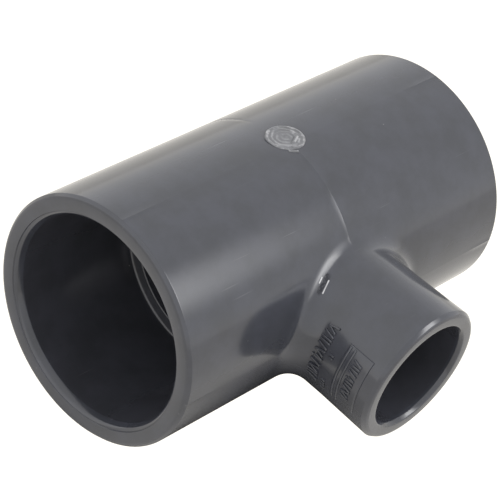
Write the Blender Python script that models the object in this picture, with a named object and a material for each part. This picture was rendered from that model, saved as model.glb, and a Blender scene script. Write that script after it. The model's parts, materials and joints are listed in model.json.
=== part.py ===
"""Reducing pipe tee with three solvent sockets, moulded in one piece.

Frame: X along the run, the branch towards -Y, Z up. The origin is under the middle of the
body's box, on the plane that the run would lie on. Lengths are in metres.
"""

import math

import bmesh
import bpy
from mathutils import Matrix, Vector

MM = 0.001

# The pipes that slide in, by outside diameter: inch sizes 1-1/2 and 3/4
RUN_PIPE = 48.26 * MM
BRANCH_PIPE = 26.67 * MM

# Run sockets, one at each end
RUN_SOCKET_DEPTH = 34.93 * MM  # face to pipe stop
RUN_WALL = 5.22 * MM  # round the socket's mouth
RUN_MOUTH_GAP = 0.15 * MM  # socket over pipe at the mouth, on the radius
RUN_STOP_PINCH = 0.075 * MM  # socket under pipe at the stop, on the radius
RUN_STOP_WIDTH = 3.1 * MM  # shoulder that the pipe's end meets
RUN_LEAD_IN_WIDTH = 1.4 * MM
RUN_LEAD_IN_DEPTH = 2.0 * MM
RUN_LIP_ROUND = 1.05 * MM
RUN_CENTRE_TO_STOP = 18.07 * MM

# Branch socket
BRANCH_SOCKET_DEPTH = 25.4 * MM
BRANCH_WALL = 4.12 * MM
BRANCH_MOUTH_GAP = 0.1 * MM
BRANCH_STOP_PINCH = 0.05 * MM
BRANCH_STOP_WIDTH = 2.85 * MM
BRANCH_LEAD_IN_WIDTH = 0.9 * MM
BRANCH_LEAD_IN_DEPTH = 1.6 * MM
BRANCH_LIP_ROUND = 1.2 * MM
BRANCH_NECK = 5.55 * MM  # run's waterway wall to the branch's pipe stop

BRANCH_TAPER = 0.35 * MM  # the barrel's radius lost between its lip and its foot
FOOT_FILLET = 6.0 * MM  # where the branch grows out of the run

# Gate scar on top, where the plastic entered the mould, and the tab beside it
GATE_DIAMETER = 9.5 * MM
GATE_RISE = 0.25 * MM
GATE_OFFSET = (0.5 * MM, 1.9 * MM)
TAB_SIZE = (2.2 * MM, 1.1 * MM)
TAB_RISE = 0.12 * MM

# Raised panel and plain raised marks on the branch's -X side
PANEL_LENGTH = 7.2 * MM  # along the branch
PANEL_ARC = 15.0 * MM  # round the branch
PANEL_RISE = 0.3 * MM
PANEL_MOUTH_MARGIN = 2.6 * MM
PANEL_TURN = 1.6 * MM  # panel's middle above the split plane, round the branch
RIM_WIDTH = 0.7 * MM
RIM_RISE = 0.25 * MM  # above the panel
RIM_INSET = 0.3 * MM  # from the panel's edges
MARK_RISE = 0.3 * MM
MARK_WIDTH = 0.85 * MM
PANEL_MARK_LENGTH = 2.6 * MM
PANEL_MARKS = 7
FOOT_MARK_LENGTH = 3.0 * MM
FOOT_MARK_GAP = 3.6 * MM  # panel's rim to the row of marks beside the foot
FOOT_MARKS = 6

RUN_SIDES = 72
BRANCH_SIDES = 48
GATE_SIDES = 32
LIP_STEPS = 3
FILLET_STEPS = 5
PANEL_STEPS = 8
OVERRUN = 3.0 * MM  # cutters past the faces they cut, and joined shapes into each other

PVC_GREY = (0.105, 0.108, 0.119, 1.0)
PVC_ROUGHNESS = 0.28


class Socket:
    """Radii of one socket, and where it lies along its own axis from the tee's centre."""

    def __init__(self, pipe, depth, wall, gap, pinch, stop_width, lead_in, lip, centre_to_stop):
        self.mouth_bore = pipe / 2 + gap
        self.stop_bore = pipe / 2 - pinch
        self.waterway = self.stop_bore - stop_width
        self.outside = self.mouth_bore + wall
        self.lead_in_width, self.lead_in_depth = lead_in
        self.lip = lip
        self.stop = centre_to_stop
        self.face = centre_to_stop + depth

    def outer_lip(self):
        """(distance, radius) round the lip's outer corner, from the barrel to the flat face."""
        for step in range(LIP_STEPS + 1):
            angle = math.pi / 2 * step / LIP_STEPS
            distance = self.face - self.lip + self.lip * math.sin(angle)
            yield distance, self.outside - self.lip + self.lip * math.cos(angle)

    def bore(self):
        """(distance, radius) from the waterway out through the stop, the taper and the lead-in."""
        widest = self.mouth_bore + self.lead_in_width
        return [
            (self.stop, self.waterway),
            (self.stop, self.stop_bore),
            (self.face - self.lead_in_depth, self.mouth_bore),
            (self.face, widest),
            (self.face + OVERRUN, widest),
        ]


RUN = Socket(
    RUN_PIPE,
    RUN_SOCKET_DEPTH,
    RUN_WALL,
    RUN_MOUTH_GAP,
    RUN_STOP_PINCH,
    RUN_STOP_WIDTH,
    (RUN_LEAD_IN_WIDTH, RUN_LEAD_IN_DEPTH),
    RUN_LIP_ROUND,
    RUN_CENTRE_TO_STOP,
)
BRANCH = Socket(
    BRANCH_PIPE,
    BRANCH_SOCKET_DEPTH,
    BRANCH_WALL,
    BRANCH_MOUTH_GAP,
    BRANCH_STOP_PINCH,
    BRANCH_STOP_WIDTH,
    (BRANCH_LEAD_IN_WIDTH, BRANCH_LEAD_IN_DEPTH),
    BRANCH_LIP_ROUND,
    RUN.waterway + BRANCH_NECK,
)

# Where the run's and the branch's axes cross
CENTRE = Vector((0, (BRANCH.face - RUN.outside) / 2, RUN.outside))
ALONG_X = Matrix.Rotation(math.pi / 2, 4, "Y")
ALONG_BRANCH = Matrix.Rotation(math.pi / 2, 4, "X")


def clear_scene():
    for obj in list(bpy.data.objects):
        bpy.data.objects.remove(obj)


def pvc_material():
    material = bpy.data.materials.new("grey_pvc")
    material.use_nodes = True
    shader = material.node_tree.nodes["Principled BSDF"]
    shader.inputs["Base Color"].default_value = PVC_GREY
    shader.inputs["Roughness"].default_value = PVC_ROUGHNESS
    shader.inputs["Metallic"].default_value = 0.0
    return material


def object_from(bm, name, turn=None):
    """An object of this mesh, centred where the two axes cross."""
    bmesh.ops.recalc_face_normals(bm, faces=bm.faces)
    mesh = bpy.data.meshes.new(name)
    bm.to_mesh(mesh)
    bm.free()
    obj = bpy.data.objects.new(name, mesh)
    obj.matrix_world = Matrix.Translation(CENTRE) @ (turn or Matrix.Identity(4))
    bpy.context.scene.collection.objects.link(obj)
    return obj


def turned(name, profile, sides, turn):
    """A solid spun about its own Z axis from (height, radius) points that start and end on it."""
    bm = bmesh.new()
    points = [bm.verts.new((radius, 0, height)) for height, radius in profile]
    edges = [bm.edges.new(pair) for pair in zip(points, points[1:])]
    bmesh.ops.spin(
        bm, geom=points + edges, cent=(0, 0, 0), axis=(0, 0, 1), angle=2 * math.pi, steps=sides
    )
    bmesh.ops.remove_doubles(bm, verts=bm.verts, dist=0.001 * MM)
    return object_from(bm, name, turn)


def stacked(name, loops, tip):
    """A solid through loops of points, flat over the first and drawn to a point after the last."""
    bm = bmesh.new()
    ring = [bm.verts.new(point) for point in loops[0]]
    bm.faces.new(ring)
    for loop in loops[1:]:
        following = [bm.verts.new(point) for point in loop]
        for side in range(len(ring)):
            ahead = (side + 1) % len(ring)
            bm.faces.new((ring[side], ring[ahead], following[ahead], following[side]))
        ring = following
    end = bm.verts.new(tip)
    for side in range(len(ring)):
        bm.faces.new((ring[side], ring[(side + 1) % len(ring)], end))
    return object_from(bm, name)


def run_blank():
    """The run's solid barrel with both outer lips rounded."""
    lip = list(RUN.outer_lip())
    half = [(RUN.face, 0), *reversed(lip)]
    other = [(-distance, radius) for distance, radius in reversed(half)]
    return turned("tee_body", half + other, RUN_SIDES, ALONG_X)


def run_bore():
    half = RUN.bore()
    ends = [(RUN.face + OVERRUN, 0), *reversed(half)]
    other = [(-distance, radius) for distance, radius in reversed(ends)]
    return turned("run_bore", ends + other, RUN_SIDES, ALONG_X)


def branch_bore():
    """The branch's bore, which starts on the run's axis."""
    profile = [(0, 0), (0, BRANCH.waterway), *BRANCH.bore(), (BRANCH.face + OVERRUN, 0)]
    return turned("branch_bore", profile, BRANCH_SIDES, ALONG_BRANCH)


def round_branch(distance, radius):
    """A loop of points round the branch's axis, this far out from the run's axis."""
    turns = [2 * math.pi * side / BRANCH_SIDES for side in range(BRANCH_SIDES)]
    return [(radius * math.cos(a), -distance, radius * math.sin(a)) for a in turns]


def barrel_radius(distance):
    """The branch's outside radius, this far out from the run's axis."""
    lip, foot = BRANCH.face - BRANCH.lip, RUN.outside + FOOT_FILLET
    return BRANCH.outside - BRANCH_TAPER * (lip - distance) / (lip - foot)


def foot_loops():
    """Loops down the foot's fillet: a ball of its radius rolls round between run and branch."""
    loops = [[] for _ in range(FILLET_STEPS + 1)]
    ball_from_branch = BRANCH.outside - BRANCH_TAPER + FOOT_FILLET
    ball_from_run = RUN.outside + FOOT_FILLET
    for side in range(BRANCH_SIDES):
        angle = 2 * math.pi * side / BRANCH_SIDES
        x, z = ball_from_branch * math.cos(angle), ball_from_branch * math.sin(angle)
        ball = Vector((x, -math.sqrt(ball_from_run**2 - z**2), z))
        on_branch = Vector((-math.cos(angle), 0, -math.sin(angle)))
        on_run = Vector((0, -ball.y, -ball.z)).normalized()
        for step, loop in enumerate(loops):
            loop.append(ball + FOOT_FILLET * on_branch.slerp(on_run, step / FILLET_STEPS))
    return loops


def branch_blank():
    """The branch's solid barrel, its rounded lip and its flared foot, sunk into the run."""
    lip = [round_branch(*point) for point in reversed(list(BRANCH.outer_lip()))]
    foot = foot_loops()
    shrink = 1 - OVERRUN / RUN.outside
    sunk = [(x, y * shrink, z * shrink) for x, y, z in foot[-1]]
    return stacked("branch_blank", [*lip, *foot, sunk], (0, -RUN.waterway, 0))


def gate_scar():
    """The round flat left by the gate."""
    bm = bmesh.new()
    base = RUN.outside - OVERRUN
    height = OVERRUN + GATE_RISE
    bmesh.ops.create_cone(
        bm,
        cap_ends=True,
        segments=GATE_SIDES,
        radius1=GATE_DIAMETER / 2,
        radius2=GATE_DIAMETER / 2,
        depth=height,
        matrix=Matrix.Translation((*GATE_OFFSET, base + height / 2)),
    )
    return object_from(bm, "gate_scar")


def gate_tab():
    """The small flat tab at the gate's edge, on the branch's side of it."""
    bm = bmesh.new()
    height = OVERRUN + TAB_RISE
    middle = Vector((GATE_OFFSET[0] - TAB_SIZE[0] / 2, GATE_OFFSET[1] - GATE_DIAMETER / 2, 0))
    middle.z = RUN.outside - OVERRUN + height / 2
    size = Matrix.Diagonal((*TAB_SIZE, height, 1))
    bmesh.ops.create_cube(bm, size=1, matrix=Matrix.Translation(middle) @ size)
    return object_from(bm, "gate_tab")


def raised_block(name, near, far, middle, arc, rise, steps=1):
    """A block that follows the branch's barrel, from near to far along it, middle metres round
    from its -X line, and arc metres wide."""
    bm = bmesh.new()
    sections = []
    sunk = -BRANCH_WALL / 4
    outline = ((sunk, near), (sunk, far), (rise, far), (rise, near))
    for step in range(steps + 1):
        angle = math.pi - (middle + arc * (step / steps - 0.5)) / BRANCH.outside
        corners = []
        for height, distance in outline:
            radius = barrel_radius(distance) + height
            point = (radius * math.cos(angle), -distance, radius * math.sin(angle))
            corners.append(bm.verts.new(point))
        sections.append(corners)
    bm.faces.new(sections[0])
    bm.faces.new(sections[-1])
    for one, two in zip(sections, sections[1:]):
        for corner in range(4):
            ahead = (corner + 1) % 4
            bm.faces.new((one[corner], one[ahead], two[ahead], two[corner]))
    return object_from(bm, name)


def mark_row(name, count, near, length, arc, middle, rise):
    """Plain raised bars, evenly spaced round the branch."""
    pitch = arc / count
    for index in range(count):
        place = middle + pitch * (index - (count - 1) / 2)
        yield raised_block(f"{name}_{index + 1}", near, near + length, place, MARK_WIDTH, rise)


def branch_marking():
    """The panel, its double rim on the run's side, and both rows of bars."""
    far = BRANCH.face - BRANCH.lip - PANEL_MOUTH_MARGIN
    near = far - PANEL_LENGTH
    yield raised_block("panel", near, far, PANEL_TURN, PANEL_ARC, PANEL_RISE, PANEL_STEPS)
    rise = PANEL_RISE + RIM_RISE
    arc = PANEL_ARC - 2 * RIM_INSET
    for index in range(2):
        start = near + RIM_INSET + index * 2 * RIM_WIDTH
        name = f"panel_rim_{index + 1}"
        end = start + RIM_WIDTH
        yield raised_block(name, start, end, PANEL_TURN, arc, rise, PANEL_STEPS)
    row = near + 4 * RIM_WIDTH
    arc = PANEL_ARC - 2 * MARK_WIDTH
    rise = PANEL_RISE + MARK_RISE
    yield from mark_row("panel_mark", PANEL_MARKS, row, PANEL_MARK_LENGTH, arc, PANEL_TURN, rise)
    row = near - FOOT_MARK_GAP - FOOT_MARK_LENGTH
    yield from mark_row("foot_mark", FOOT_MARKS, row, FOOT_MARK_LENGTH, arc, 0, MARK_RISE)


def join_or_cut(body, tool, operation):
    """Joins a shape to the body, or cuts it away, and leaves the shape as a hidden guide."""
    tool.hide_render = True
    tool.display_type = "WIRE"
    modifier = body.modifiers.new(tool.name, "BOOLEAN")
    modifier.object = tool
    modifier.operation = operation
    modifier.solver = "EXACT"


def build():
    clear_scene()
    body = run_blank()
    for shape in (branch_blank(), gate_scar(), gate_tab(), *branch_marking()):
        join_or_cut(body, shape, "UNION")
    for bore in (run_bore(), branch_bore()):
        join_or_cut(body, bore, "DIFFERENCE")
    body.data.materials.append(pvc_material())
    body.data.shade_smooth()
    body.data.set_sharp_from_angle(angle=math.radians(30))


build()
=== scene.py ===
import json
import math

import bmesh
import bpy
from mathutils import Matrix, Vector, noise
from mathutils.kdtree import KDTree

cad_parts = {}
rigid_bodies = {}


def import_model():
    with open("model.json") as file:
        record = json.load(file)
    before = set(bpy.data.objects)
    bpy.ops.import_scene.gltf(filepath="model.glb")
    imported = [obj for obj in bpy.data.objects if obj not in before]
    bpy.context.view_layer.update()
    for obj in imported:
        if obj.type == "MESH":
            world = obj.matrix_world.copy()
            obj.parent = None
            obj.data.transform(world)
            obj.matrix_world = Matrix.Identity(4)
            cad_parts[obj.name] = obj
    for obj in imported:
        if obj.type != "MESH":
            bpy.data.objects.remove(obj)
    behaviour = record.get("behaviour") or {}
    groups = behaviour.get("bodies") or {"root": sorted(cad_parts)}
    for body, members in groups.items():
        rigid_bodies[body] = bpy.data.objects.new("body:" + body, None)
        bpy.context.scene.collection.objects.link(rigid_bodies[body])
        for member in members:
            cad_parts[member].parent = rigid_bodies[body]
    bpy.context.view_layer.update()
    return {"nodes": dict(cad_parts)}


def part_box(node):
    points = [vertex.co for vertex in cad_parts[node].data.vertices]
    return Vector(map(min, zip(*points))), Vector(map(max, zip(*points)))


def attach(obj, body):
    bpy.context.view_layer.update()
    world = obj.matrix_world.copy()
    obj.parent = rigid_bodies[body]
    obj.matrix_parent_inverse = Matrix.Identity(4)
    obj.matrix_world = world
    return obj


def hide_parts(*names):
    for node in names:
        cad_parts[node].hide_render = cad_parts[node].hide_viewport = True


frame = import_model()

mm = 0.001
degree = math.pi / 180
mergeGap = 0.005 * mm  # corners closer than this are one
print("frame loaded:", ", ".join(sorted(frame["nodes"])))

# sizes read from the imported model: the run lies along X, the branch points towards -Y
low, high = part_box("tee_body")
gateRise = 0.25 * mm
runRadius = (high.z - low.z - gateRise) / 2
runReach = (high.x - low.x) / 2
crossing = Vector(((low.x + high.x) / 2, high.y - runRadius, low.z + runRadius))
branchReach = crossing.y - low.y


def clearSelection():
    if bpy.context.object and bpy.context.object.mode != "OBJECT":
        bpy.ops.object.mode_set(mode="OBJECT")
    bpy.ops.object.select_all(action="DESELECT")


def makeActive(piece):
    clearSelection()
    piece.select_set(True)
    bpy.context.view_layer.objects.active = piece
    return piece


def placeInMesh(piece):  # the object's own place goes into its mesh
    makeActive(piece)
    bpy.ops.object.transform_apply(location=True, rotation=True, scale=True)
    return piece


def pickCorners(piece, wanted):  # selects corners by place; the piece is in edit mode
    bpy.ops.mesh.select_mode(type="VERT")
    bpy.ops.mesh.select_all(action="DESELECT")
    edit = bmesh.from_edit_mesh(piece.data)
    for corner in edit.verts:
        corner.select = wanted(corner.co)
    edit.select_flush_mode()
    bmesh.update_edit_mesh(piece.data)


def pickFaces(piece, wanted):  # selects faces by middle and normal; the piece is in edit mode
    bpy.ops.mesh.select_mode(type="FACE")
    bpy.ops.mesh.select_all(action="DESELECT")
    edit = bmesh.from_edit_mesh(piece.data)
    edit.normal_update()
    for face in edit.faces:
        face.select = wanted(face.calc_center_median(), face.normal)
    edit.select_flush_mode()
    bmesh.update_edit_mesh(piece.data)


def pickOpenEdges(piece, wanted):  # selects the edges round an opening, by place
    bpy.ops.mesh.select_mode(type="EDGE")
    bpy.ops.mesh.select_all(action="DESELECT")
    edit = bmesh.from_edit_mesh(piece.data)
    for edge in edit.edges:
        edge.select = edge.is_boundary and wanted(edge.verts[0].co)
    edit.select_flush_mode()
    bmesh.update_edit_mesh(piece.data)


def combine(piece, other, operation):  # joins or cuts, and takes the other shape away
    makeActive(piece)
    modifier = piece.modifiers.new("combine", "BOOLEAN")
    modifier.operation = operation
    modifier.solver = "EXACT"
    modifier.material_mode = "TRANSFER"
    modifier.object = other
    bpy.ops.object.modifier_apply(modifier=modifier.name)
    bpy.data.objects.remove(other)
    return piece


def arcBetween(first, last, sweep, share):  # swings one arm towards another
    return (math.sin((1 - share) * sweep) * first + math.sin(share * sweep) * last) / math.sin(sweep)


def roundedPath(corners, longest):  # corners are (distance, radius, round, steps); arcs fill the rounds
    stations = []
    for at, (distance, radius, roundSize, steps) in enumerate(corners):
        here = Vector((distance, radius))
        if roundSize == 0 or at in (0, len(corners) - 1):
            stations.append(here)
            continue
        back = (Vector(corners[at - 1][:2]) - here).normalized()
        onward = (Vector(corners[at + 1][:2]) - here).normalized()
        half = back.angle(onward) / 2
        middle = here + (back + onward).normalized() * (roundSize / math.sin(half))
        first = here + back * (roundSize / math.tan(half)) - middle
        last = here + onward * (roundSize / math.tan(half)) - middle
        sweep = first.angle(last)
        for step in range(steps + 1):
            share = step / steps
            stations.append(middle + arcBetween(first, last, sweep, share))
    filled = [stations[0]]
    for here in stations[1:]:
        last = filled[-1]
        pieces = max(1, math.ceil((here - last).length / longest - 0.001))
        for step in range(1, pieces + 1):
            filled.append(last.lerp(here, step / pieces))
    return [(station.x, station.y) for station in filled]


def put(tree, kind, values=None, **settings):  # adds a node; a value may be another node's socket
    made = tree.nodes.new(kind)
    for name, value in settings.items():
        setattr(made, name, value)
    for name, value in (values or {}).items():
        if isinstance(value, bpy.types.NodeSocket):
            tree.links.new(value, made.inputs[name])
        else:
            made.inputs[name].default_value = value
    return made


def sums(tree, operation, first, second):
    return put(tree, "ShaderNodeMath", {0: first, 1: second}, operation=operation).outputs[0]


def ramp(tree, value, start, end, low=0.0, high=1.0):
    values = {"Value": value, "From Min": start, "From Max": end, "To Min": low, "To Max": high}
    return put(tree, "ShaderNodeMapRange", values, interpolation_type="SMOOTHSTEP").outputs["Result"]


def newGroup(name, inputs, outputs):
    tree = bpy.data.node_groups.new(name, "ShaderNodeTree")
    for label, value in inputs.items():
        tree.interface.new_socket(label, in_out="INPUT", socket_type="NodeSocketFloat").default_value = value
    for label in outputs:
        tree.interface.new_socket(label, in_out="OUTPUT", socket_type="NodeSocketFloat")
    return tree, tree.nodes.new("NodeGroupInput"), tree.nodes.new("NodeGroupOutput")


def useGroup(tree, group, values):
    made = tree.nodes.new("ShaderNodeGroup")
    made.node_tree = group
    for name, value in values.items():
        made.inputs[name].default_value = value
    return made


def noiseAt(tree, place, scale, detail, roughness=0.5):
    values = {"Vector": place, "Scale": scale, "Detail": detail, "Roughness": roughness}
    return put(tree, "ShaderNodeTexNoise", values).outputs["Fac"]


skinShape = {  # scale and detail of each noise, and its height in mm
    "waves": (75, 1.5, 0.02),
    "peel": (700, 2, 0.0016),
    "grain": (3800, 2, 0.0007),
    "mottle": (120, 4),
    "mottleRange": (0.3, 0.7),
    "roughness": 0.6,
}


def mouldedSkin():  # height in mm of a moulded surface: slow waves, orange peel, grain; and a slow mottle
    inputs = {"Waves": 1.0, "Peel": 1.0}
    tree, start, end = newGroup("mouldedSkin", inputs, ["Height", "Mottle"])
    place = put(tree, "ShaderNodeTexCoord").outputs["Object"]
    scale, detail, tall = skinShape["waves"]
    waves = sums(tree, "MULTIPLY", noiseAt(tree, place, scale, detail), start.outputs["Waves"])
    height = sums(tree, "MULTIPLY", waves, tall)
    scale, detail, tall = skinShape["peel"]
    peel = sums(tree, "MULTIPLY", noiseAt(tree, place, scale, detail), start.outputs["Peel"])
    height = sums(tree, "ADD", height, sums(tree, "MULTIPLY", peel, tall))
    scale, detail, tall = skinShape["grain"]
    grain = noiseAt(tree, place, scale, detail, skinShape["roughness"])
    height = sums(tree, "ADD", height, sums(tree, "MULTIPLY", grain, tall))
    tree.links.new(height, end.inputs["Height"])
    mottle = noiseAt(tree, place, *skinShape["mottle"], skinShape["roughness"])
    tree.links.new(mottle, end.inputs["Mottle"])
    return tree


scuffShape = {
    "lines": [((0.3, 0.2, 0.5), 0.0, 55), ((0.3, 0.2, -0.9), 3.0, 79)],  # turn, shift, scale of the patches
    "stretch": (45, 1500, 1500),
    "lineRange": (0.735, 0.8),
    "patchRange": (0.5, 0.68),
    "dustScale": 260,
    "dustFew": (0.86, 0.9),
    "dustSize": (0.045, 0.02),
}


def fineScuffs():  # masks of handling marks: hair scratches in two directions, and pale dust specks
    shape = scuffShape
    tree, start, end = newGroup("fineScuffs", {"Scratches": 1.0, "Dust": 1.0}, ["Scratch", "Speck"])
    place = put(tree, "ShaderNodeTexCoord").outputs["Object"]
    total = 0.0
    for turn, shift, patchScale in shape["lines"]:
        values = {"Vector": place, "Rotation": turn, "Location": (shift, 0, 0), "Scale": shape["stretch"]}
        lined = put(tree, "ShaderNodeMapping", values).outputs["Vector"]
        lines = ramp(tree, noiseAt(tree, lined, 1.0, 1), *shape["lineRange"])
        patches = ramp(tree, noiseAt(tree, place, patchScale, 1), *shape["patchRange"])
        total = sums(tree, "MAXIMUM", total, sums(tree, "MULTIPLY", lines, patches))
    tree.links.new(sums(tree, "MULTIPLY", total, start.outputs["Scratches"]), end.inputs["Scratch"])
    cells = put(tree, "ShaderNodeTexVoronoi", {"Vector": place, "Scale": shape["dustScale"]})
    chance = put(tree, "ShaderNodeSeparateColor", {"Color": cells.outputs["Color"]}).outputs[0]
    spots = ramp(tree, cells.outputs["Distance"], *shape["dustSize"])
    dust = sums(tree, "MULTIPLY", ramp(tree, chance, *shape["dustFew"]), spots)
    tree.links.new(sums(tree, "MULTIPLY", dust, start.outputs["Dust"]), end.inputs["Speck"])
    return tree


def strokeMask(tree, place, stroke):  # one along a line between two places, fading at its edge
    start, end = (crossing + Vector(spot) * mm for spot in stroke[:2])
    half, soft = (size * mm for size in stroke[2:])
    span = end - start
    away = put(tree, "ShaderNodeVectorMath", {0: place, 1: start}, operation="SUBTRACT").outputs[0]
    values = {0: away, 1: span / span.length_squared}
    along = put(tree, "ShaderNodeVectorMath", values, operation="DOT_PRODUCT").outputs["Value"]
    along = put(tree, "ShaderNodeClamp", {"Value": along}).outputs[0]
    nearest = put(tree, "ShaderNodeVectorMath", {0: span, "Scale": along}, operation="SCALE").outputs[0]
    distance = put(tree, "ShaderNodeVectorMath", {0: away, 1: nearest}, operation="DISTANCE").outputs["Value"]
    return ramp(tree, distance, half + soft, half - soft)


pvcLook = {
    "outside": {
        "colour": (0.036, 0.038, 0.047),
        "gloss": 0.13,
        "waves": 1.0,
        "peel": 1.0,
        "scratches": 0.5,
        "dust": 0.7,
        "nicked": True,
    },
    "socket": {
        "colour": (0.033, 0.034, 0.041),
        "gloss": 0.2,
        "waves": 0.6,
        "peel": 0.6,
        "scratches": 0.35,
        "dust": 0.5,
    },
    "cut": {
        "colour": (0.105, 0.107, 0.115),
        "gloss": 0.3,
        "waves": 0.5,
        "peel": 5.0,
        "scratches": 1.0,
        "dust": 0.3,
        "whitened": True,
    },
}
wear = {
    "scratchColour": (0.16, 0.16, 0.17, 1),
    "scratchShow": 0.5,  # how far a scratch takes its colour
    "scratchRough": 0.15,
    "scratchDepth": 0.002,  # mm
    "dustColour": (0.3, 0.3, 0.3, 1),
}
# a stroke below is its two ends from the crossing, its half width and its fade, all in mm
nick = {  # a small scar on the round beside the branch, with painted glints along its edges
    "hollow": ((-9.9, -26.6, 15.0), (-13.2, -27.9, 12.9), 0.62, 0.3),
    # pale strokes along the scar's edges are painted glints
    "edges": [
        ((-10.2, -27.45, 14.4), (-12.6, -28.5, 12.6), 0.14, 0.1),
        ((-11.2, -26.2, 14.9), (-12.3, -26.7, 14.1), 0.12, 0.1),
    ],
    "ragged": (2600, 2, 0.3, 0.5),  # scale, detail and range of the hollow's breaks
    "darkColour": (0.016, 0.016, 0.018, 1),
    "paleColour": (0.5, 0.5, 0.51, 1),
    "darkShow": 0.6,
    "dull": 0.4,  # how much of the shine the hollow loses
    "rough": 0.3,
    "depth": 0.02,  # mm
}
gateRings = {  # the cutter's pale rings, a painted highlight along its last stroke and a painted shadow line beside it, in mm from the crossing
    "place": (0.55, 1.85, 29.5),
    "apart": 1.25,
    "wander": 1.9,
    "wanderNoise": (420, 2, 0.6),
    "ringRange": (-0.8, 1.0),
    "patchNoise": (650, 3, 0.65),
    "patchRange": (0.4, 0.66),
    "rim": (2.2, 3.8, 0.35, 0.9),  # paler from one distance to another, from one share to another
    "pale": [
        (((1.3, -0.4, 29.5), (-0.5, -1.25, 29.5), 0.12, 0.15), 0.7),
        (((-3.1, 1.0, 29.5), (0.6, -1.4, 29.5), 0.35, 0.5), 0.5),
    ],
    # the stroke gets a painted highlight, and the line beside it a painted shadow
    "stroke": ((3.5, 0.7, 29.5), (1.5, -0.3, 29.5), 0.2, 0.15),
    "line": ((2.7, 1.05, 29.5), (0.2, -0.2, 29.5), 0.14, 0.15),
    "paintedShadowLineShow": 0.8,
    "paleColour": (0.3, 0.3, 0.31, 1),
    "paintedStrokeHighlight": (0.55, 0.55, 0.56, 1),
    "paintedShadowLineColour": (0.03, 0.03, 0.033, 1),
}
skinGroup = mouldedSkin()
scuffGroup = fineScuffs()


def mixed(tree, share, first, second):
    made = put(tree, "ShaderNodeMix", data_type="RGBA")
    for index, value in ((0, share), (6, first), (7, second)):
        if isinstance(value, bpy.types.NodeSocket):
            tree.links.new(value, made.inputs[index])
        else:
            made.inputs[index].default_value = value
    return made.outputs[2]


def whiteningAndPaintedLight(tree, place, colour):  # uneven pale rings left by the cutter, with a painted highlight and a painted shadow line along its last stroke
    rings = gateRings
    middle = crossing + Vector(rings["place"]) * mm
    distance = put(tree, "ShaderNodeVectorMath", {0: place, 1: middle}, operation="DISTANCE").outputs["Value"]
    uneven = sums(tree, "MULTIPLY", noiseAt(tree, place, *rings["wanderNoise"]), rings["wander"] * mm)
    turns = sums(tree, "MULTIPLY", sums(tree, "ADD", distance, uneven), 2 * math.pi / (rings["apart"] * mm))
    pale = ramp(tree, sums(tree, "SINE", turns, 0.0), *rings["ringRange"])
    patches = ramp(tree, noiseAt(tree, place, *rings["patchNoise"]), *rings["patchRange"])
    pale = sums(tree, "MULTIPLY", pale, patches)
    near, far, least, most = rings["rim"]
    pale = sums(tree, "MULTIPLY", pale, ramp(tree, distance, near * mm, far * mm, least, most))
    for stroke, share in rings["pale"]:
        pale = sums(tree, "MAXIMUM", pale, sums(tree, "MULTIPLY", strokeMask(tree, place, stroke), share))
    # painted shadow line beside the raised stroke: it clears the pale rings there and is darkened below
    line = strokeMask(tree, place, rings["line"])
    pale = put(tree, "ShaderNodeClamp", {"Value": sums(tree, "SUBTRACT", pale, line)}).outputs[0]
    colour = mixed(tree, pale, colour, rings["paleColour"])
    # painted highlight along the cutter's raised last stroke
    colour = mixed(tree, strokeMask(tree, place, rings["stroke"]), colour, rings["paintedStrokeHighlight"])
    return mixed(tree, sums(tree, "MULTIPLY", line, rings["paintedShadowLineShow"]), colour, rings["paintedShadowLineColour"])


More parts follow.
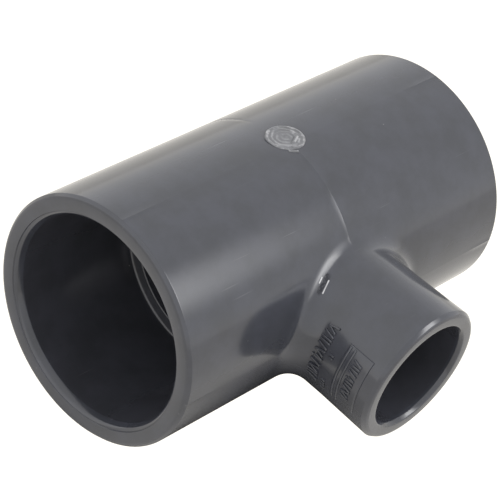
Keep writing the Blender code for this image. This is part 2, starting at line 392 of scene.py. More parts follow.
def makePvc(name, look):
    paint = bpy.data.materials.new(name)
    paint.use_nodes = True
    tree = paint.node_tree
    shader = tree.nodes["Principled BSDF"]
    shader.inputs["IOR"].default_value = 1.54
    skin = useGroup(tree, skinGroup, {"Waves": look["waves"], "Peel": look["peel"]})
    scuff = useGroup(tree, scuffGroup, {"Scratches": look["scratches"], "Dust": look["dust"]})
    scratch = scuff.outputs["Scratch"]
    red, green, blue = look["colour"]
    deep = (red * 0.9, green * 0.9, blue * 0.88, 1)
    light = (red * 1.1, green * 1.1, blue * 1.12, 1)
    place = put(tree, "ShaderNodeTexCoord").outputs["Object"]
    colour = mixed(tree, ramp(tree, skin.outputs["Mottle"], *skinShape["mottleRange"]), deep, light)
    if "whitened" in look:
        colour = whiteningAndPaintedLight(tree, place, colour)
    colour = mixed(tree, sums(tree, "MULTIPLY", scratch, wear["scratchShow"]), colour, wear["scratchColour"])
    colour = mixed(tree, scuff.outputs["Speck"], colour, wear["dustColour"])
    glossRange = (look["gloss"] - 0.02, look["gloss"] + 0.03)
    gloss = ramp(tree, skin.outputs["Mottle"], *skinShape["mottleRange"], *glossRange)
    gloss = sums(tree, "ADD", gloss, sums(tree, "MULTIPLY", scratch, wear["scratchRough"]))
    groove = sums(tree, "MULTIPLY", scratch, wear["scratchDepth"])
    height = sums(tree, "SUBTRACT", skin.outputs["Height"], groove)
    if "nicked" in look:
        scale, detail, start, end = nick["ragged"]
        ragged = ramp(tree, noiseAt(tree, place, scale, detail), start, end)
        hollow = sums(tree, "MULTIPLY", strokeMask(tree, place, nick["hollow"]), ragged)
        # painted glints along the scar's edges
        pale = sums(tree, "MAXIMUM", *(strokeMask(tree, place, edge) for edge in nick["edges"]))
        colour = mixed(tree, sums(tree, "MULTIPLY", hollow, nick["darkShow"]), colour, nick["darkColour"])
        colour = mixed(tree, pale, colour, nick["paleColour"])
        shine = sums(tree, "SUBTRACT", 0.5, sums(tree, "MULTIPLY", hollow, nick["dull"]))
        tree.links.new(shine, shader.inputs["Specular IOR Level"])
        gloss = sums(tree, "ADD", gloss, sums(tree, "MULTIPLY", hollow, nick["rough"]))
        height = sums(tree, "SUBTRACT", height, sums(tree, "MULTIPLY", hollow, nick["depth"]))
    bump = put(tree, "ShaderNodeBump", {"Height": height, "Distance": mm, "Strength": 1.0})
    tree.links.new(colour, shader.inputs["Base Color"])
    tree.links.new(gloss, shader.inputs["Roughness"])
    tree.links.new(bump.outputs["Normal"], shader.inputs["Normal"])
    return paint


outsidePvc = makePvc("greyPvc", pvcLook["outside"])
socketPvc = makePvc("socketPvc", pvcLook["socket"])
cutPvc = makePvc("gateCutPvc", pvcLook["cut"])
print("finishes made")


teeShape = {
    "ringSides": 120,  # corners round the run
    "branchSides": 160,  # corners round the branch
    "station": 3.0 * mm,  # longest stretch between two rings
    "runMouthBore": 24.28 * mm,
    "runStopBore": 24.055 * mm,
    "runWaterway": 20.955 * mm,
    "runStop": 18.07 * mm,
    "branchLipRadius": 17.555 * mm,
    "branchFootRadius": 17.205 * mm,
    "branchTaperEnd": 35.5 * mm,
    "branchMouthBore": 13.435 * mm,
    "branchStopBore": 13.285 * mm,
    "branchWaterway": 10.435 * mm,
    "branchStop": 26.505 * mm,
    "footFillet": 6.0 * mm,
    "innerRound": 0.7 * mm,
    "outerWindow": 30.0 * mm,
    "innerWindow": 16.0 * mm,
    "branchLip": 1.15 * mm,  # from the branch's face to where its lip starts
}
windowTurn = 60 * degree
seamShape = {
    "feet": (-0.08 * mm, 0.13 * mm),  # the parting line's foot on either side
    "onLine": 0.01 * mm,
    "clear": 0.4 * mm,  # it stays this far from the bottom and the back
    "frontEnd": -23 * mm,  # the line over the top, by y from the crossing
    "frontRise": 0.014 * mm,
    "crotchEnd": -25.5 * mm,
    "crotchRise": 0.008 * mm,
    "backStart": 12 * mm,
    "backRise": -0.03 * mm,  # well behind the gate it is a fine groove
    "underRise": 0.03 * mm,  # under the run and the branch
    "sideStart": 44 * mm,  # the line along the run's side near each mouth
    "sideRise": 0.03 * mm,
    "topStart": 43 * mm,  # the line along the top near each mouth
    "topRise": 0.03 * mm,
}


def windowRing(reach, radius):  # the opening's edge on the run, one point for each branch corner
    quarter = teeShape["branchSides"] // 4
    points = []
    for index in range(teeShape["branchSides"]):
        side, step = divmod((index + quarter // 2) % teeShape["branchSides"], quarter)
        share = 2 * step / quarter - 1
        x, turn = [
            (reach, share * windowTurn),
            (-share * reach, windowTurn),
            (-reach, -share * windowTurn),
            (share * reach, -windowTurn),
        ][side]
        points.append((x, turn, radius))
    return points


def onRun(x, turn, radius):  # turn is from -Y towards +Z
    return crossing + Vector((x, -radius * math.cos(turn), radius * math.sin(turn)))


def branchAngles():
    return [2 * math.pi * index / teeShape["branchSides"] for index in range(teeShape["branchSides"])]


def blendRings(runSide, branchSide, ball, steps):  # rolled round from the run's wall to the branch's
    rings = [[] for step in range(steps + 1)]
    for angle in branchAngles():
        across = Vector((math.cos(angle), 0, math.sin(angle)))
        middle = across * (branchSide + ball)
        middle.y = -math.sqrt((runSide + ball) ** 2 - middle.z**2)
        share = runSide / (runSide + ball)
        first = Vector((middle.x, middle.y * share, middle.z * share)) - middle
        last = across * branchSide + Vector((0, middle.y, 0)) - middle
        sweep = first.angle(last)
        for step in range(steps + 1):
            rings[step].append(crossing + middle + arcBetween(first, last, sweep, step / steps))
    return rings


def sheetRings(window, contact, steps):  # rings on the run's wall between the opening's edge and the round
    rings = []
    for step in range(1, steps):
        share = step / steps
        ring = []
        for (x, turn, radius), place in zip(window, contact):
            local = place - crossing
            far = math.atan2(local.z, -local.y)
            ring.append(onRun(x + (local.x - x) * share, turn + (far - turn) * share, radius))
        rings.append(ring)
    return rings


def branchRing(distance, radius):
    return [
        crossing + Vector((radius * math.cos(angle), -distance, radius * math.sin(angle)))
        for angle in branchAngles()
    ]


def mixedRings(first, last, steps):
    return [[a.lerp(b, step / steps) for a, b in zip(first, last)] for step in range(1, steps)]


def growRing(piece, ringNow, ringNext):  # pulls the open edge out once and sets the new ring's corners
    bpy.ops.mesh.extrude_region_move()
    lookup = KDTree(len(ringNow))
    for index, place in enumerate(ringNow):
        lookup.insert(place, index)
    lookup.balance()
    edit = bmesh.from_edit_mesh(piece.data)
    for corner in edit.verts:
        if corner.select:
            corner.co = ringNext[lookup.find(corner.co)[1]]
    bmesh.update_edit_mesh(piece.data)


def runPath():
    shape = teeShape
    face, bore = runReach, shape["runMouthBore"]
    corners = [
        (shape["outerWindow"], runRadius, 0, 0),
        (face - 1.1 * mm, runRadius, 0, 0),
        (face - 0.82 * mm, runRadius, 0.15 * mm, 4),  # a crisp line where the lip leaves the barrel
        (face - 0.16 * mm, runRadius - 0.6 * mm, 0.35 * mm, 4),
        (face, runRadius - 1.12 * mm, 0.1 * mm, 2),
        (face, bore + 1.46 * mm, 0.06 * mm, 2),
        (face - 0.26 * mm, bore + 1.38 * mm, 0.03 * mm, 2),  # fine groove inside the flat face
        (face - 0.2 * mm, bore + 1.2 * mm, 0.06 * mm, 2),
        (face - 0.6 * mm, bore + 0.62 * mm, 0.9 * mm, 5),  # flared lead-in
        (face - 2.1 * mm, bore + 0.04 * mm, 0.8 * mm, 3),
        (face - 2.9 * mm, bore, 0, 0),
        (shape["runStop"], shape["runStopBore"], 0.8 * mm, 4),
        (shape["runStop"], shape["runWaterway"], 0.4 * mm, 4),
        (shape["innerWindow"], shape["runWaterway"], 0, 0),
    ]
    half = roundedPath(corners, shape["station"])
    cells = shape["branchSides"] // 4
    across = [2 * step / cells - 1 for step in range(1, cells)]
    outer = [(share * shape["outerWindow"], runRadius) for share in across]
    inner = [(-share * shape["innerWindow"], shape["runWaterway"]) for share in across]
    mirrored = [(-distance, radius) for distance, radius in reversed(half)]
    return [mirrored[-1]] + outer + half + inner + mirrored


def makeRun():
    path = runPath()
    clearSelection()
    bpy.ops.mesh.primitive_circle_add(
        vertices=teeShape["ringSides"],
        radius=path[0][1],
        location=crossing + Vector((path[0][0], 0, 0)),
        rotation=(0, math.pi / 2, 0),
    )
    piece = placeInMesh(bpy.context.object)
    piece.name = "teeBody"
    piece.data.materials.append(outsidePvc)
    piece.data.materials.append(socketPvc)
    bpy.ops.object.mode_set(mode="EDIT")
    bpy.ops.mesh.select_mode(type="EDGE")
    bpy.ops.mesh.select_all(action="SELECT")
    for (lastDistance, lastRadius), (distance, radius) in zip(path, path[1:]):
        bpy.ops.mesh.extrude_region_move(TRANSFORM_OT_translate={"value": (distance - lastDistance, 0, 0)})
        if abs(radius - lastRadius) > 1e-9:
            wider = radius / lastRadius
            bpy.ops.transform.resize(value=(1, wider, wider), center_override=crossing)
    bpy.ops.mesh.select_all(action="SELECT")
    bpy.ops.mesh.remove_doubles(threshold=mergeGap)
    bpy.ops.mesh.normals_make_consistent(inside=False)
    return piece


def openWindow(piece, reach, nearest, farthest):
    def inWindow(middle, normal):
        local = middle - crossing
        turn = abs(math.atan2(local.z, -local.y))
        distance = math.hypot(local.y, local.z)
        return abs(local.x) < reach and turn < windowTurn and nearest < distance < farthest

    pickFaces(piece, inWindow)
    bpy.ops.mesh.delete(type="FACE")


def growBranch(piece):
    shape = teeShape
    outerWindow = windowRing(shape["outerWindow"], runRadius)
    innerWindow = windowRing(shape["innerWindow"], shape["runWaterway"])
    outerBlend = blendRings(runRadius, shape["branchFootRadius"], shape["footFillet"], 12)
    innerBlend = blendRings(shape["runWaterway"], shape["branchWaterway"], shape["innerRound"], 4)
    neck = shape["branchStop"] - 3.5 * mm
    barrelStart = shape["branchTaperEnd"] + 1.0 * mm
    face, outside, bore = branchReach, shape["branchLipRadius"], shape["branchMouthBore"]
    corners = [
        (barrelStart, shape["branchFootRadius"], 0, 0),
        (face - 1.45 * mm, outside - 0.007 * mm, 0, 0),
        (face - shape["branchLip"], outside, 0.35 * mm, 4),
        (face - 0.25 * mm, outside - 0.6 * mm, 0.8 * mm, 4),
        (face, outside - 1.25 * mm, 0.12 * mm, 2),
        (face, bore + 0.62 * mm, 0.45 * mm, 4),  # rounded lead-in
        (face - 0.95 * mm, bore + 0.07 * mm, 0.9 * mm, 5),
        (face - 1.7 * mm, bore, 0, 0),
        (shape["branchStop"], shape["branchStopBore"], 0.5 * mm, 4),
        (shape["branchStop"], shape["branchWaterway"], 0.35 * mm, 4),
        (neck, shape["branchWaterway"], 0, 0),
    ]
    rings = sheetRings(outerWindow, outerBlend[0], 12)
    rings += outerBlend
    barrel = [branchRing(*station) for station in roundedPath(corners, 1.5 * mm)]
    rings += mixedRings(outerBlend[-1], barrel[0], 6)
    rings += barrel
    rings += mixedRings(barrel[-1], innerBlend[-1], 4)
    rings += list(reversed(innerBlend))
    rings += list(reversed(sheetRings(innerWindow, innerBlend[0], 8)))
    rings.append([onRun(*point) for point in innerWindow])

    waterway = shape["runWaterway"]
    openWindow(piece, shape["outerWindow"], runRadius - 1 * mm, runRadius + 1 * mm)
    openWindow(piece, shape["innerWindow"], waterway - 1 * mm, waterway + 1 * mm)

    def onOuterWall(place):
        local = place - crossing
        return math.hypot(local.y, local.z) > waterway + 1 * mm

    pickOpenEdges(piece, onOuterWall)
    ringNow = [onRun(*point) for point in outerWindow]
    for ringNext in rings:
        growRing(piece, ringNow, ringNext)
        ringNow = ringNext


def joinUp(piece):
    bpy.ops.mesh.select_all(action="SELECT")
    bpy.ops.mesh.remove_doubles(threshold=mergeGap)
    bpy.ops.mesh.normals_make_consistent(inside=False)


teeBody = makeRun()
growBranch(teeBody)
joinUp(teeBody)


def raiseSeams(piece):  # the mould's parting lines, fine ridges and one groove
    shape = seamShape
    for across in (Vector((1, 0, 0)), Vector((0, 0, 1)), Vector((0, 1, 0))):
        for foot in shape["feet"]:
            bpy.ops.mesh.select_all(action="SELECT")
            bpy.ops.mesh.bisect(plane_co=crossing + across * foot, plane_no=across, threshold=0.002 * mm)

    def outerWall(local):
        onBarrel = math.hypot(local.y, local.z) > runRadius - 0.3 * mm
        onBranch = math.hypot(local.x, local.z) > teeShape["branchMouthBore"] + 1.5 * mm
        return onBarrel and (local.y > -runRadius or onBranch) and local.y > 1.3 * mm - branchReach

    def roundSeam(local, nearest, farthest):  # round the middle of the run, from one y to another
        onBoxSide = local.z < shape["clear"] - runRadius or local.y > runRadius - shape["clear"]
        between = nearest < local.y < farthest and not onBoxSide
        return abs(local.x) < shape["onLine"] and outerWall(local) and between

    def sideSeam(local):
        onLine = abs(local.z) < shape["onLine"] and abs(local.x) > shape["sideStart"]
        return onLine and local.y < 0 and outerWall(local)

    def topSeam(local):
        onLine = abs(local.y) < shape["onLine"] and abs(local.x) > shape["topStart"]
        return onLine and local.z > runRadius - 0.1 * mm

    crotch = (shape["crotchEnd"], shape["frontEnd"])
    lines = (
        (lambda local: local.z > 0 and roundSeam(local, shape["frontEnd"], 0), shape["frontRise"]),
        (lambda local: local.z > 0 and roundSeam(local, *crotch), shape["crotchRise"]),
        (lambda local: roundSeam(local, shape["backStart"], runRadius), shape["backRise"]),
        (lambda local: local.z < 0 and roundSeam(local, -branchReach, 0), shape["underRise"]),
        (sideSeam, shape["sideRise"]),
        (topSeam, shape["topRise"]),
    )
    for wanted, rise in lines:
        pickCorners(piece, lambda place: wanted(place - crossing))
        bpy.ops.transform.shrink_fatten(value=rise)
        bpy.ops.mesh.mark_sharp()


def finishSockets(piece):  # the bores' own finish, from inside each flat face inwards
    shape = teeShape

    def inBore(middle, normal):
        local = middle - crossing
        fromRun = math.hypot(local.y, local.z)
        fromBranch = math.hypot(local.x, local.z)
        inRun = fromRun < shape["runMouthBore"] + 0.05 * mm and abs(local.x) < runReach - 2 * mm
        inBranch = fromBranch < shape["branchMouthBore"] + 0.03 * mm and local.y > 1.5 * mm - branchReach
        return inRun or inBranch

    pickFaces(piece, inBore)
    piece.active_material_index = 1
    bpy.ops.object.material_slot_assign()


raiseSeams(teeBody)
finishSockets(teeBody)
bpy.ops.object.mode_set(mode="OBJECT")
print("tee body grown:", len(teeBody.data.polygons), "faces")

gateShape = {
    "place": (0.55 * mm, 1.85 * mm),
    "oval": (1.03, 0.87, -17 * degree),  # across, along, and how far it is turned
    "wander": 0.025,  # how far its edge leaves the oval
    "bends": 2.2,  # how often it does
    "sides": 120,
    "rings": [  # radius, and depth under the top of the cut, in mm
        (4.75, 2.5),
        (4.75, 0.16),
        (4.66, 0.05),
        (4.5, 0.0),
        (4.25, 0.0),
        (4.08, 0.12),
        (3.75, 0.15),
        (3.45, 0.06),
        (3.2, 0.06),
        (3.0, 0.15),
        (2.6, 0.14),
        (2.4, 0.05),
        (2.2, 0.06),
        (2.0, 0.14),
        (1.5, 0.15),
        (1.3, 0.08),
        (0.9, 0.1),
        (0.7, 0.17),
        (0.3, 0.17),
    ],
    "rough": 0.045 * mm,
    "roughScale": 900,
    "stroke": ((1.5 * mm, -0.28 * mm), 4.7 * mm, 0.45 * mm, 26 * degree),  # place, length, width, turn
    "tab": ((-1.07 * mm, -2.45 * mm), 2.4 * mm, 0.8 * mm, -29 * degree, 0.16 * mm),  # the same, and height
}


def makeGate():
    shape = gateShape
    top = high.z
    middle = Vector((crossing.x + shape["place"][0], crossing.y + shape["place"][1], 0))
    clearSelection()
    radius, depth = shape["rings"][0]
    bpy.ops.mesh.primitive_circle_add(
        vertices=shape["sides"],
        radius=radius * mm,
        fill_type="NGON",
        location=middle + Vector((0, 0, top - depth * mm)),
    )
    piece = placeInMesh(bpy.context.object)
    piece.name = "gateCut"
    piece.data.materials.append(cutPvc)
    bpy.ops.object.mode_set(mode="EDIT")
    bpy.ops.mesh.select_all(action="SELECT")
    for (lastRadius, lastDepth), (radius, depth) in zip(shape["rings"], shape["rings"][1:]):
        bpy.ops.mesh.extrude_region_move(TRANSFORM_OT_translate={"value": (0, 0, (lastDepth - depth) * mm)})
        smaller = radius / lastRadius
        bpy.ops.transform.resize(value=(smaller, smaller, 1), center_override=middle)
    bpy.ops.mesh.select_all(action="SELECT")
    bpy.ops.mesh.normals_make_consistent(inside=False)
    bpy.ops.object.mode_set(mode="OBJECT")
    across, along, turn = shape["oval"]
    for corner in piece.data.vertices:  # a cut face is never quite round or even
        local = corner.co - middle
        angle = math.atan2(local.y, local.x)
        spot = Vector((math.cos(angle) * shape["bends"], math.sin(angle) * shape["bends"], 0.7))
        wander = 1 + shape["wander"] * noise.noise(spot)
        x, y = local.x * across * wander, local.y * along * wander
        corner.co.x = middle.x + x * math.cos(turn) - y * math.sin(turn)
        corner.co.y = middle.y + x * math.sin(turn) + y * math.cos(turn)
        if top - 1 * mm < corner.co.z:
            spot = Vector((corner.co.x * shape["roughScale"], corner.co.y * shape["roughScale"], 3.1))
            corner.co.z -= shape["rough"] * (1 + noise.noise(spot))
    return piece


def makeBlock(name, middle, size, turn, soft):  # a small soft-edged block
    clearSelection()
    bpy.ops.mesh.primitive_cube_add(size=1, location=middle)
    piece = bpy.context.object
    piece.name = name
    piece.scale = size
    piece.rotation_euler.z = turn
    piece.data.materials.append(cutPvc)
    placeInMesh(piece)
    bpy.ops.object.mode_set(mode="EDIT")
    pickCorners(piece, lambda place: place.z > middle[2])
    bpy.ops.mesh.bevel(offset=soft, segments=2, affect="EDGES")
    bpy.ops.object.mode_set(mode="OBJECT")
    return piece


def addGate(body):
    gate = makeGate()
    shape = gateShape
    (strokeX, strokeY), length, width, turn = shape["stroke"]
    stroke = makeBlock(
        "gateStroke",
        (crossing.x + strokeX, crossing.y + strokeY, high.z - 0.28 * mm),
        (length, width, 0.5 * mm),
        turn,
        0.15 * mm,
    )
    combine(gate, stroke, "UNION")
    (tabX, tabY), length, width, turn, rise = shape["tab"]
    surface = math.sqrt(runRadius**2 - tabY**2) - runRadius
    tab = makeBlock(
        "gateTab",
        (crossing.x + tabX, crossing.y + tabY, crossing.z + runRadius + surface + rise - 0.6 * mm),
        (length, width, 1.2 * mm),
        turn,
        0.12 * mm,
    )
    combine(body, gate, "UNION")
    combine(body, tab, "UNION")
    print("gate cut joined")


markShape = {
    "middleTurn": 174.5 * degree,  # round the branch, from +X towards +Z
    "sunk": 0.5 * mm,
    "panel": (15.0 * mm, 40.905 * mm, 48.105 * mm, 0.28 * mm),  # length round, start, end, height
    "rims": [(14.3 * mm, 41.2 * mm, 41.85 * mm, 0.52 * mm), (14.3 * mm, 42.55 * mm, 43.2 * mm, 0.5 * mm)],
    "panelRow": {
        "kinds": "shsdhsvs",
        "along": 45.1 * mm,
        "tall": 2.5 * mm,
        "height": 0.6 * mm,
        "start": -5.0 * mm,
        "step": 1.32 * mm,
    },
    "footRow": {
        "kinds": "vshsvdsvhs",
        "along": 35.4 * mm,
        "tall": 3.0 * mm,
        "height": 0.5 * mm,
        "start": -7.6 * mm,
        "step": 1.55 * mm,
    },
    "ticks": [-2.4 * mm, -1.7 * mm, 5.0 * mm, 5.8 * mm, 6.6 * mm, 7.4 * mm],
    "tick": (38.6 * mm, 0.42 * mm, 1.1 * mm, 0.38 * mm),  # place along the branch, width, length, height
    "lean": 12 * degree,
    "stroke": 0.54 * mm,
    "soft": 0.13 * mm,
    "panelSoft": 0.22 * mm,
}


def barrelRadius(along):
    shape = teeShape
    start, end = shape["branchTaperEnd"], branchReach - shape["branchLip"]
    share = min(max((along - start) / (end - start), 0), 1)
    return shape["branchFootRadius"] + (shape["branchLipRadius"] - shape["branchFootRadius"]) * share


def footHeight(along, turn):  # how far the fillet stands off the barrel, where a mark runs onto it
    ball = teeShape["footFillet"]
    foot = math.sqrt((runRadius + ball) ** 2 - ((teeShape["branchFootRadius"] + ball) * math.sin(turn)) ** 2)
    if along >= foot:
        return 0
    return ball - math.sqrt(max(ball**2 - (foot - along) ** 2, 0))


def wrapRound(piece):  # flat x goes round the branch, flat y along it, flat z off it
    for corner in piece.data.vertices:
        around, along, off = corner.co
        turn = markShape["middleTurn"] + around / teeShape["branchFootRadius"]
        radius = barrelRadius(along) + footHeight(along, turn) + off
        corner.co = crossing + Vector((radius * math.cos(turn), -along, radius * math.sin(turn)))


def addStroke(piece, middle, length, width, turn, height):  # one more soft block in the same mesh
    bpy.ops.mesh.primitive_cube_add(size=1, location=(middle[0], middle[1], (height - markShape["sunk"]) / 2))
    bpy.ops.transform.resize(
        value=(length, width, height + markShape["sunk"]),
        center_override=(middle[0], middle[1], (height - markShape["sunk"]) / 2),
    )
    bpy.ops.transform.rotate(value=turn, orient_axis="Z", center_override=(middle[0], middle[1], 0))


def makeFlat(name, blocks, cuts, soft=markShape["soft"]):
    clearSelection()
    bpy.ops.mesh.primitive_cube_add(size=0.001, location=(0, 0, 0))
    piece = bpy.context.object
    piece.name = name
    piece.data.materials.append(outsidePvc)
    placeInMesh(piece)
    bpy.ops.object.mode_set(mode="EDIT")
    bpy.ops.mesh.select_all(action="SELECT")
    bpy.ops.mesh.delete(type="VERT")
    for block in blocks:
        addStroke(piece, *block)
    pickFaces(piece, lambda middle, normal: middle.z > 0.05 * mm and normal.z > 0.5)
    bpy.ops.mesh.region_to_loop()
    bpy.ops.mesh.bevel(offset=soft, segments=2, affect="EDGES")
    bpy.ops.mesh.select_mode(type="EDGE")
    bpy.ops.mesh.select_all(action="DESELECT")
    edit = bmesh.from_edit_mesh(piece.data)
    for edge in edit.edges:  # the long edges, so that they can follow the curve
        edge.select = edge.calc_length() > 2 * mm
    bmesh.update_edit_mesh(piece.data)
    bpy.ops.mesh.subdivide(number_cuts=cuts)
    bpy.ops.mesh.select_all(action="SELECT")
    bpy.ops.mesh.normals_make_consistent(inside=False)
    bpy.ops.object.mode_set(mode="OBJECT")
    wrapRound(piece)
    return piece


def rowOfMarks(row):  # s is a bar, d a short bar with a dot, v a chevron, h a pair of bars
    blocks = []
    wide, lean = markShape["stroke"], markShape["lean"]
    along, tall, height = row["along"], row["tall"], row["height"]
    for index, kind in enumerate(row["kinds"]):
        at = row["start"] + index * row["step"]
        if kind == "s":
            blocks.append(((at, along), wide, tall, lean, height))
        elif kind == "d":
            blocks.append(((at, along + tall * 0.14), wide, tall * 0.72, lean, height))
            blocks.append(((at + 0.1 * mm, along - tall * 0.42), wide, wide, 0, height))
        elif kind == "v":
            blocks.append(((at - 0.3 * mm, along), wide * 0.9, tall, -14 * degree, height))
            blocks.append(((at + 0.42 * mm, along), wide * 0.9, tall * 0.9, 20 * degree, height))
        elif kind == "h":
            for shift in (-0.38 * mm, 0.38 * mm):
                blocks.append(((at + shift, along), wide * 0.85, tall, 0, height))
    return blocks


def addMarking(body):
    shape = markShape
    long, start, end, height = shape["panel"]
    block = ((0, (start + end) / 2), long, end - start, 0, height)
    panel = makeFlat("markPanel", [block], 20, shape["panelSoft"])
    for long, start, end, height in shape["rims"]:
        rim = makeFlat("markRim", [((0, (start + end) / 2), long, end - start, 0, height)], 20)
        combine(panel, rim, "UNION")
    for block in rowOfMarks(shape["panelRow"]):
        combine(panel, makeFlat("panelMark", [block], 2), "UNION")
    combine(body, panel, "UNION")
    blocks = rowOfMarks(shape["footRow"])
    along, width, length, height = shape["tick"]
    for around in shape["ticks"]:
        blocks.append(((around, along), width, length, 0, height))
    for start in range(0, len(blocks), 5):
        few = makeFlat("footMarks", blocks[start : start + 1], 2)
        for block in blocks[start + 1 : start + 5]:
            combine(few, makeFlat("footMark", [block], 2), "UNION")
        combine(body, few, "UNION")
    print("marking joined")


addGate(teeBody)
addMarking(teeBody)
makeActive(teeBody)
bpy.ops.object.shade_smooth_by_angle(angle=32 * degree, keep_sharp_edges=True)
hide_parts("tee_body")
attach(teeBody, "root")
check = bmesh.new()
check.from_mesh(teeBody.data)
openEdges = sum(1 for edge in check.edges if not edge.is_manifold)
volume = round(check.calc_volume() * 1e6, 2)
print("tee body:", len(check.faces), "faces,", openEdges, "open edges,", volume, "cm3")
check.free()

cameraPlace = {
    "place": (-11.86864302 * runRadius, -7.62902362 * runRadius, 11.39881694 * runRadius),
    "azimuth": -57.1261,
    "elevation": 39.2107,
    "roll": 17.9253,
    "lens": 166.246,
}


def makeCamera():
    azimuth, elevation, roll = (cameraPlace[name] * degree for name in ("azimuth", "elevation", "roll"))
    back = Vector(
        (
            math.sin(azimuth) * math.cos(elevation),
            -math.cos(azimuth) * math.cos(elevation),
            math.sin(elevation),
        )
    )
    level = Vector((math.cos(azimuth), math.sin(azimuth), 0))
    upright = back.cross(level)
    right = level * math.cos(roll) + upright * math.sin(roll)
    up = upright * math.cos(roll) - level * math.sin(roll)
    camera = bpy.data.objects.new("camera", bpy.data.cameras.new("camera"))
    camera.data.sensor_width = 36
    camera.data.lens = cameraPlace["lens"]
    camera.data.clip_end = 20
    turn = Matrix((right, up, back)).transposed().to_4x4()
    camera.matrix_world = Matrix.Translation(crossing + Vector(cameraPlace["place"])) @ turn
    bpy.context.collection.objects.link(camera)
    bpy.context.scene.camera = camera


makeCamera()

studio = {
    "roomLight": 1.22,  # the white room overhead
    "sideLight": 0.4,  # what the room gains towards the back left
    "sideWay": (-0.8, 0.5, 0.3),
    "skylineLight": 0.22,  # what it gains low down all round
    "skylineTop": 0.6,  # upward share of the view where that ends
    "floorLight": 1.06,  # what the floor gives back where nothing stands near
    "floorSize": 3,
    "lowColour": (1.02, 0.985, 0.915, 1),  # the floor and the skyline are a little warm
    "tintRange": (-0.1, 0.2),  # upward shares of the view between which that fades
    "shadeReach": 0.045,  # how far the painted shade on the floor reaches from a thing
    "shadeRange": (0.24, 0.83),  # openness where the painted floor shade is darkest, and where it is plain
    "boxPlace": Vector((0.262, -0.372, 0.348)),
    "boxSize": (0.56, 0.6),
    "boxLean": 0.4,  # how far its right side leans
    # light added to the room's, then foot, head, right side and left side, each from nothing to full
    "boxParts": [
        (2.3, (-0.2, -0.035), (0.19, 0.025), (0.17, 0.045), (-0.28, -0.2)),
        (5.2, (-0.1, 0.01), (0.25, 0.17), (0.06, 0.0), (-0.2, -0.11)),
    ],
}


def makeRoom():
    world = bpy.data.worlds.new("whiteRoom")
    world.use_nodes = True
    tree = world.node_tree
    background = tree.nodes["Background"]
    facing = put(tree, "ShaderNodeTexCoord").outputs["Generated"]
    values = {0: facing, 1: studio["sideWay"]}
    side = put(tree, "ShaderNodeVectorMath", values, operation="DOT_PRODUCT").outputs["Value"]
    values = {"Value": side, "To Max": studio["sideLight"]}
    sideLight = put(tree, "ShaderNodeMapRange", values).outputs["Result"]
    upward = put(tree, "ShaderNodeSeparateXYZ", {0: facing}).outputs["Z"]
    values = {
        "Value": upward,
        "From Max": studio["skylineTop"],
        "To Min": studio["roomLight"] + studio["skylineLight"],
        "To Max": studio["roomLight"],
    }
    skyline = put(tree, "ShaderNodeMapRange", values).outputs["Result"]
    tree.links.new(sums(tree, "ADD", sideLight, skyline), background.inputs["Strength"])
    tint = mixed(tree, ramp(tree, upward, *studio["tintRange"]), studio["lowColour"], (1, 1, 1, 1))
    tree.links.new(tint, background.inputs["Color"])
    bpy.context.scene.world = world
    bpy.context.scene.view_settings.view_transform = "Standard"


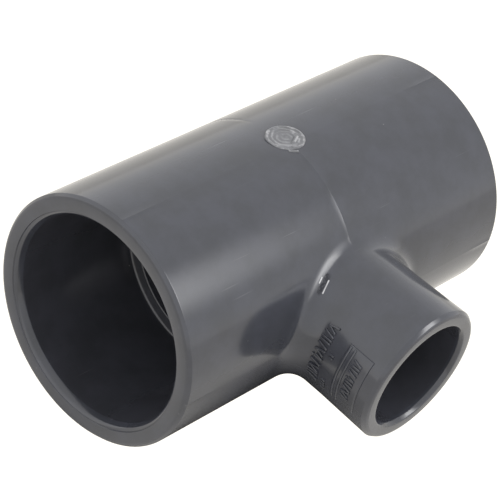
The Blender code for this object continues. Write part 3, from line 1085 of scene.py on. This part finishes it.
def makeFloor():
    clearSelection()
    bpy.ops.mesh.primitive_plane_add(size=studio["floorSize"], location=(0, 0, 0))
    floor = bpy.context.object
    floor.name = "floor"
    paint = bpy.data.materials.new("paleFloor")
    paint.use_nodes = True
    tree = paint.node_tree
    tree.nodes.remove(tree.nodes["Principled BSDF"])
    # painted shade: the floor's glow is darkened near the tee from an ambient-occlusion lookup, seen only in
    # reflections and bounced light
    openness = put(tree, "ShaderNodeAmbientOcclusion", {"Distance": studio["shadeReach"]}, samples=8)
    paintedFloorShade = ramp(tree, openness.outputs["AO"], *studio["shadeRange"], 0.0, studio["floorLight"])
    camera = put(tree, "ShaderNodeLightPath").outputs["Is Camera Ray"]
    values = {"Factor": camera, "A": paintedFloorShade, "B": studio["roomLight"]}  # the camera sees it plain white
    strength = put(tree, "ShaderNodeMix", values).outputs["Result"]
    glow = put(tree, "ShaderNodeEmission", {"Color": studio["lowColour"], "Strength": strength})
    tree.links.new(glow.outputs[0], tree.nodes["Material Output"].inputs["Surface"])
    floor.data.materials.append(paint)


def makeSoftbox():  # a panel of light with soft edges, seen only in the plastic
    away = studio["boxPlace"].normalized()
    level = Vector((0, 0, 1)).cross(away).normalized()
    turn = Matrix((level, away.cross(level), away)).transposed().to_4x4()
    clearSelection()
    bpy.ops.mesh.primitive_plane_add(size=1)
    panel = bpy.context.object
    panel.name = "softbox"
    panel.scale = (*studio["boxSize"], 1)
    placeInMesh(panel)
    panel.matrix_world = Matrix.Translation(crossing + studio["boxPlace"]) @ turn
    panel.visible_camera = False
    paint = bpy.data.materials.new("softboxLight")
    paint.use_nodes = True
    tree = paint.node_tree
    tree.nodes.remove(tree.nodes["Principled BSDF"])
    place = put(tree, "ShaderNodeTexCoord").outputs["Object"]
    split = put(tree, "ShaderNodeSeparateXYZ", {0: place})
    across, upward = split.outputs["X"], split.outputs["Y"]
    leaning = sums(tree, "SUBTRACT", across, sums(tree, "MULTIPLY", upward, studio["boxLean"]))
    total = 0.0
    for light, foot, head, right, left in studio["boxParts"]:
        share = sums(tree, "MULTIPLY", ramp(tree, upward, *foot), ramp(tree, upward, *head))
        share = sums(tree, "MULTIPLY", share, ramp(tree, leaning, *right))
        share = sums(tree, "MULTIPLY", share, ramp(tree, leaning, *left))
        total = sums(tree, "ADD", total, sums(tree, "MULTIPLY", share, light))
    glow = put(tree, "ShaderNodeEmission", {"Strength": total})
    clear = put(tree, "ShaderNodeBsdfTransparent")
    both = put(tree, "ShaderNodeAddShader")
    tree.links.new(glow.outputs[0], both.inputs[0])
    tree.links.new(clear.outputs[0], both.inputs[1])
    tree.links.new(both.outputs[0], tree.nodes["Material Output"].inputs["Surface"])
    panel.data.materials.append(paint)


makeRoom()
makeFloor()
makeSoftbox()
print("camera, floor and light placed")
